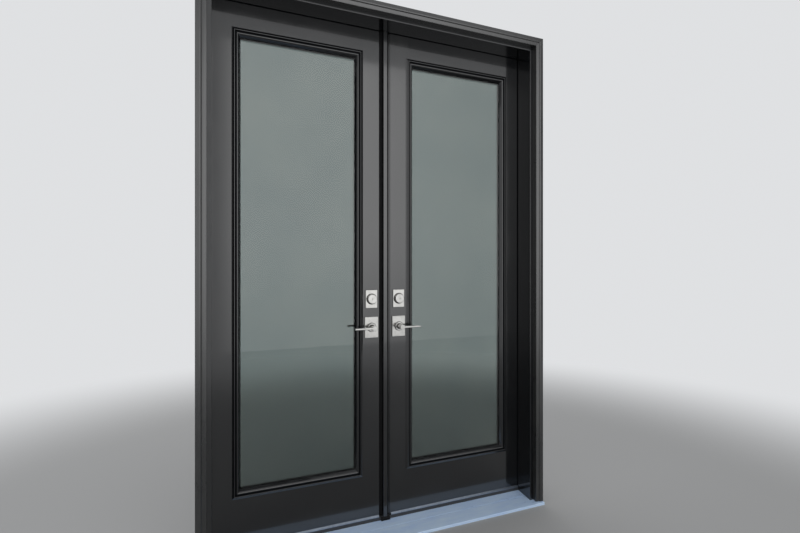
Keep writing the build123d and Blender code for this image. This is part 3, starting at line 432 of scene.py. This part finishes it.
def screws(name, body, slot_name, places, size):
    """Cross-recessed screws. Each place is a point on the plate, its normal and the recess's turn
    in degrees."""
    head, shank, depth, crown = size
    outline = cross_outline(head * 0.13, head * 0.5)
    taper = (head - shank) * 1.15
    rings = [
        (head * 0.72, crown),
        (head * 0.93, crown * 0.45),
        (head, -head * 0.03),
        (shank, -min(taper, depth * 0.9)),
        (shank, -depth),
    ]
    recess = [radius for _, radius in outline]
    count = len(outline)
    built = bmesh.new()
    for point, normal, turn in places:
        face = Vector(normal).to_track_quat("Z", "Y").to_matrix().to_4x4()
        stand = Matrix.Translation(point) @ face
        stand = stand @ Matrix.Rotation(math.radians(turn), 4, "Z")

        def ring(radii, height):
            return [
                built.verts.new(stand @ Vector((r * math.cos(a), r * math.sin(a), height)))
                for (a, _), r in zip(outline, radii)
            ]

        loops = [ring([r * 0.6 for r in recess], crown - head * 0.38), ring(recess, crown)]
        loops += [ring([radius] * count, height) for radius, height in rings]
        for inner, outer in zip(loops, loops[1:]):
            for i in range(count):
                k = (i + 1) % count
                built.faces.new((inner[i], outer[i], outer[k], inner[k]))
        built.faces.new(list(reversed(loops[0])))
        built.faces.new(loops[-1])
    finish_piece(name, body, slot_name, built, 35)


def hinge_screws(name, body, plates):
    """Four countersunk screws in each plate. A plate is its X and the direction that it faces."""
    places = []
    for x, facing in plates:
        for z in hinge_heights:
            for i in range(4):
                y = hinge_screw_y + (-1) ** i * hinge_screw_stagger
                turn = (i * 37 + z * 900 + x * 500) % 90
                places.append(((x, y, z + (i - 1.5) * hinge_screw_pitch), (facing, 0, 0), turn))
    screws(name, body, "hinge_steel", places, hinge_screw)


hinge_screws("hinge_screws_frame", "frame", [(-frame_plate_x, 1), (frame_plate_x, -1)])
hinge_screws("hinge_screws_leaf_left", "leaf_left", [(-door_plate_x, -1)])
hinge_screws("hinge_screws_leaf_right", "leaf_right", [(door_plate_x, 1)])

# The two screws of a plate are turned differently, but for those of a bolt strike
faceplate_places = [
    ((-faceplate_x, leaf_mid_y, z + rise), (1, 0, 0), rise * 4000 + 20)
    for z in (lever_z, deadbolt_z)
    for rise in (-faceplate_reach, faceplate_reach)
]
screws("faceplate_screws", "leaf_left", "satin_nickel", faceplate_places, faceplate_screw)
strike_places = [
    ((-strike_x, leaf_mid_y, z + rise), (-1, 0, 0), rise * 3000 + 10)
    for z in (lever_z, deadbolt_z)
    for rise in (-strike_reach, strike_reach)
]
screws("strike_screws", "leaf_right", "satin_nickel", strike_places, strike_screw)
bolt_strike_places = [
    ((lock_x + run, leaf_mid_y, z), (0, 0, facing), run * 2000 + 30)
    for z, facing in ((head_strike_z, -1), (foot_strike_z, 1))
    for run in (-bolt_strike_reach, bolt_strike_reach)
]
screws("bolt_strike_screws", "frame", "bolt_steel", bolt_strike_places, strike_screw)

# Oval-headed machine screws that draw the two sides of each trim together, seen from the room
trim_face_y = leaf_back_y + trim_depth
rose_face_y = leaf_back_y + rose_depth
for side, x in (("left", -lock_x), ("right", lock_x)):
    trim_places = [
        ((x, trim_face_y, deadbolt_z + rise), (0, 1, 0), rise * 1500 + 15)
        for rise in (-trim_reach, trim_reach)
    ]
    trim_places += [
        ((x, rose_face_y, lever_z + rise), (0, 1, 0), rise * 900 + 40)
        for rise in (-rose_reach, rose_reach)
    ]
    screws(f"trim_screws_{side}", f"leaf_{side}", "satin_nickel", trim_places, trim_screw)


# Rubber pad on the sill under the foot of the astragal, ribbed across its front
pad_section = [
    (0.1057, 0.0245),
    (0.0965, 0.0236),
    (0.0965, 0.0300),
    (0.0995, 0.0385),
    (0.1005, 0.0396),
    (0.1057, 0.0396),
]
pad = bmesh.new()
pad_rings = []
stations = pad_ribs * 4
for i in range(stations + 1):
    x = -pad_half + 2 * pad_half * i / stations
    groove = pad_rib_depth if i % 4 in (0, 1) and 0 < i < stations else 0
    pad_rings.append([
        pad.verts.new((x, y + (groove if y < pad_front_y else 0), z)) for y, z in pad_section
    ])
bridge(pad, pad_rings)
cap(pad, pad_rings)
finish_piece("astragal_pad", "frame", "seal_rubber", pad)


def shade_gaskets(name, body, places):
    """Thin black rubber rings round the feet of collars and necks, which paint the shade line round
    each foot. Each place is the ring's centre on the plate, the way along Y that it faces, and its
    inner radius, outer radius and thickness."""
    turned = bmesh.new()
    for centre, facing, (inner, outer, thick) in places:
        edge = 0.3 * thick
        profile = [
            (inner, 0),
            (inner, thick),
            (outer - 2 * edge, thick),
            (outer - 0.6 * edge, thick - 0.6 * edge),
            (outer, thick - 2 * edge),
            (outer, 0),
        ]
        loops = []
        for i in range(shade_gasket_segments):
            angle = 2 * math.pi * i / shade_gasket_segments
            loops.append([
                turned.verts.new(
                    Vector(centre) + Vector((r * math.cos(angle), facing * h, r * math.sin(angle)))
                )
                for r, h in profile
            ])
        bridge(turned, loops + loops[:1])
    finish_piece(name, body, "seal_rubber", turned)


# Painted shade: black rubber rings round the feet of the trims, roses and necks on both faces
for side, x in (("left", -lock_x), ("right", lock_x)):
    shade_gaskets(f"lock_shade_gaskets_{side}", f"leaf_{side}", [
        ((x, leaf_face_y - trim_depth, deadbolt_z), -1, trim_shade_gasket),
        ((x, leaf_face_y - rose_depth, lever_z), -1, rose_shade_gasket),
        ((x, leaf_face_y - neck_depth, lever_z), -1, neck_shade_gasket),
        ((x, leaf_back_y + rose_depth, lever_z), 1, rose_shade_gasket),
        ((x, leaf_back_y + neck_depth, lever_z), 1, neck_shade_gasket),
    ])

# Ribbed black rubber strips on both flanges of the astragal, beside its bead, which also paint the
# shade of a deeper recess there; and the fin of its seal
fin_section = [
    (-0.0276, 0.1192),
    (-0.0287, 0.1186),
    (-0.02988, 0.1171),
    (-0.02988, 0.1178),
    (-0.0289, 0.1194),
    (-0.0276, 0.1202),
]
# Each rib as shares of the pitch and heights over the flange
rib_profile = (
    (0, strip_floor),
    (0.25, strip_floor),
    (0.45, strip_rib),
    (0.7, strip_rib),
    (0.9, strip_floor),
)
sections = [fin_section]
for start, end in strip_spans:
    section = [(start, flange_y)]
    ribs = int((end - start) / strip_pitch)
    pitch = (end - start) / ribs
    for i in range(ribs):
        x = start + i * pitch
        section += [(x + share * pitch, flange_y - height) for share, height in rib_profile]
    section += [(end, flange_y - strip_floor), (end, flange_y)]
    sections.append(section)
# Painted shade: the black strips keep both recessed flanges of the astragal dark
strips = bmesh.new()
for section in sections:
    ends = [[strips.verts.new((x, y, z)) for x, y in section] for z in (strip_low, strip_high)]
    bridge(strips, ends)
    cap(strips, ends)
finish_piece("astragal_shade_strips", "leaf_right", "seal_rubber", strips)

# Glazing seal: a thin bead where each pane meets the leg of its moulding
glazing_corners = (
    (glass_near_x, glass_low_z),
    (glass_far_x, glass_low_z),
    (glass_far_x, glass_high_z),
    (glass_near_x, glass_high_z),
)
glazing_faces = (
    ("outside", glass_face_y - glazing_seal_radius),
    ("inside", glass_back_y + glazing_seal_radius),
)
for side, sign in (("left", -1), ("right", 1)):
    for face, y in glazing_faces:
        curve = bpy.data.curves.new(f"glazing_seal_{face}_{side}", "CURVE")
        curve.dimensions = "3D"
        curve.bevel_depth = glazing_seal_radius
        curve.bevel_resolution = 3
        loop = curve.splines.new("POLY")
        loop.points.add(len(glazing_corners) - 1)
        loop.use_cyclic_u = True
        for point, (x, z) in zip(loop.points, glazing_corners):
            point.co = (sign * x, y, z, 1)
        curve.materials.append(looks["seal_rubber"])
        seal = add_object(curve.name, curve)
        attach(seal, f"leaf_{side}")


def stage_plane(name, corners, look):
    """A flat piece of the studio, which isn't part of the doors."""
    mesh = bpy.data.meshes.new(name)
    mesh.from_pydata(corners, [], [(0, 1, 2, 3)])
    mesh.materials.append(look)
    plane = add_object(name, mesh)
    return plane


# Floor: plain grey, fading into the background far off wherever the camera sees it
floor_look, floor_tree, floor_shader = surface("floor_pale", floor_colour, 0.85)
spot = node(floor_tree, "ShaderNodeTexCoord")
from_middle = node(floor_tree, "ShaderNodeVectorMath", operation="LENGTH")
floor_tree.links.new(spot.outputs["Object"], from_middle.inputs["Vector"])
far_off = ramp(floor_tree, from_middle.outputs["Value"], 0, 1, *floor_fade, "SMOOTHSTEP")
glow = node(floor_tree, "ShaderNodeEmission", Strength=1.0, Color=(*background_colour, 1))
blend = node(floor_tree, "ShaderNodeMixShader")
floor_tree.links.new(
    maths(floor_tree, "MULTIPLY", seen_share(floor_tree), far_off), blend.inputs[0]
)
floor_tree.links.new(floor_shader.outputs["BSDF"], blend.inputs[1])
floor_tree.links.new(glow.outputs["Emission"], blend.inputs[2])
floor_tree.links.new(
    blend.outputs["Shader"], floor_tree.nodes["Material Output"].inputs["Surface"]
)
half = floor_size / 2
floor_corners = [(-half, -half, 0), (half, -half, 0), (half, half, 0), (-half, half, 0)]
stage_plane("floor", floor_corners, floor_look)

# World: the background's colour wherever the camera sees it, and a little darker as a light
world = bpy.data.worlds.new("studio")
bpy.context.scene.world = world
world.use_nodes = True
world_tree = world.node_tree
world_tree.links.new(
    colour_mix(world_tree, seen_share(world_tree), ambient_colour, background_colour),
    world_tree.nodes["Background"].inputs["Color"],
)


def softbox(name, radiance, place, turn, dim=None):
    """A big soft light, weaker towards its foot and both ends. dim is where a dim stretch of it
    starts, is full, ends to be full and ends, in world X."""
    light = bpy.data.lights.new(name, "AREA")
    light.shape = "RECTANGLE"
    light.size = softbox_width
    light.size_y = softbox_height
    light.energy = radiance * math.pi * softbox_width * softbox_height
    light.use_nodes = True
    tree = light.node_tree
    share = split_xyz(tree, node(tree, "ShaderNodeNewGeometry").outputs["Parametric"])

    def fade(way, low, high, start, end):
        return ramp(tree, share[way], low, high, start, end, "SMOOTHSTEP")

    level = maths(
        tree, "MULTIPLY",
        fade("Y", foot_level, 1.0, *foot_fade),
        fade("X", 1.0, right_level, *right_fade),
    )
    level = maths(tree, "MULTIPLY", level, fade("X", left_level, 1.0, *left_fade))
    if dim:
        start, full, brighter, end = [(x - place[0]) / softbox_width + 0.5 for x in dim]
        down = fade("X", 1.0, dim_level, start, full)
        up = fade("X", dim_level, 1.0, brighter, end)
        level = maths(tree, "MULTIPLY", level, maths(tree, "MAXIMUM", down, up))
    tree.links.new(level, tree.nodes["Emission"].inputs["Strength"])
    lamp = add_object(name, light)
    lamp.location = place
    lamp.rotation_euler = (math.radians(90), 0, math.radians(turn))
    lamp.visible_camera = False
    lamp.visible_transmission = False


# Big soft lights in front of the doors, behind the camera, and on the room side
softbox("softbox_front", front_radiance, front_place, 0, dim_stretch)
softbox("softbox_room", room_radiance, room_place, 180)

# Dark card on the right, for the paint to mirror
card_corners = [
    (card_x, card_near_y, 0),
    (card_x, card_far_y, 0),
    (card_x, card_far_y, card_height),
    (card_x, card_near_y, card_height),
]
card = stage_plane("card_right", card_corners, surface("card_dark", card_colour, 0.9)[0])
card.visible_camera = False
card.visible_transmission = False

# Camera
camera_data = bpy.data.cameras.new("camera")
camera_data.lens = lens_mm
camera_data.sensor_width = sensor_mm
camera = add_object("camera", camera_data)
camera.location = eye
camera.rotation_euler = (math.radians(90), 0, -turn_right)
bpy.context.scene.camera = camera

bpy.context.scene.view_settings.view_transform = "Standard"
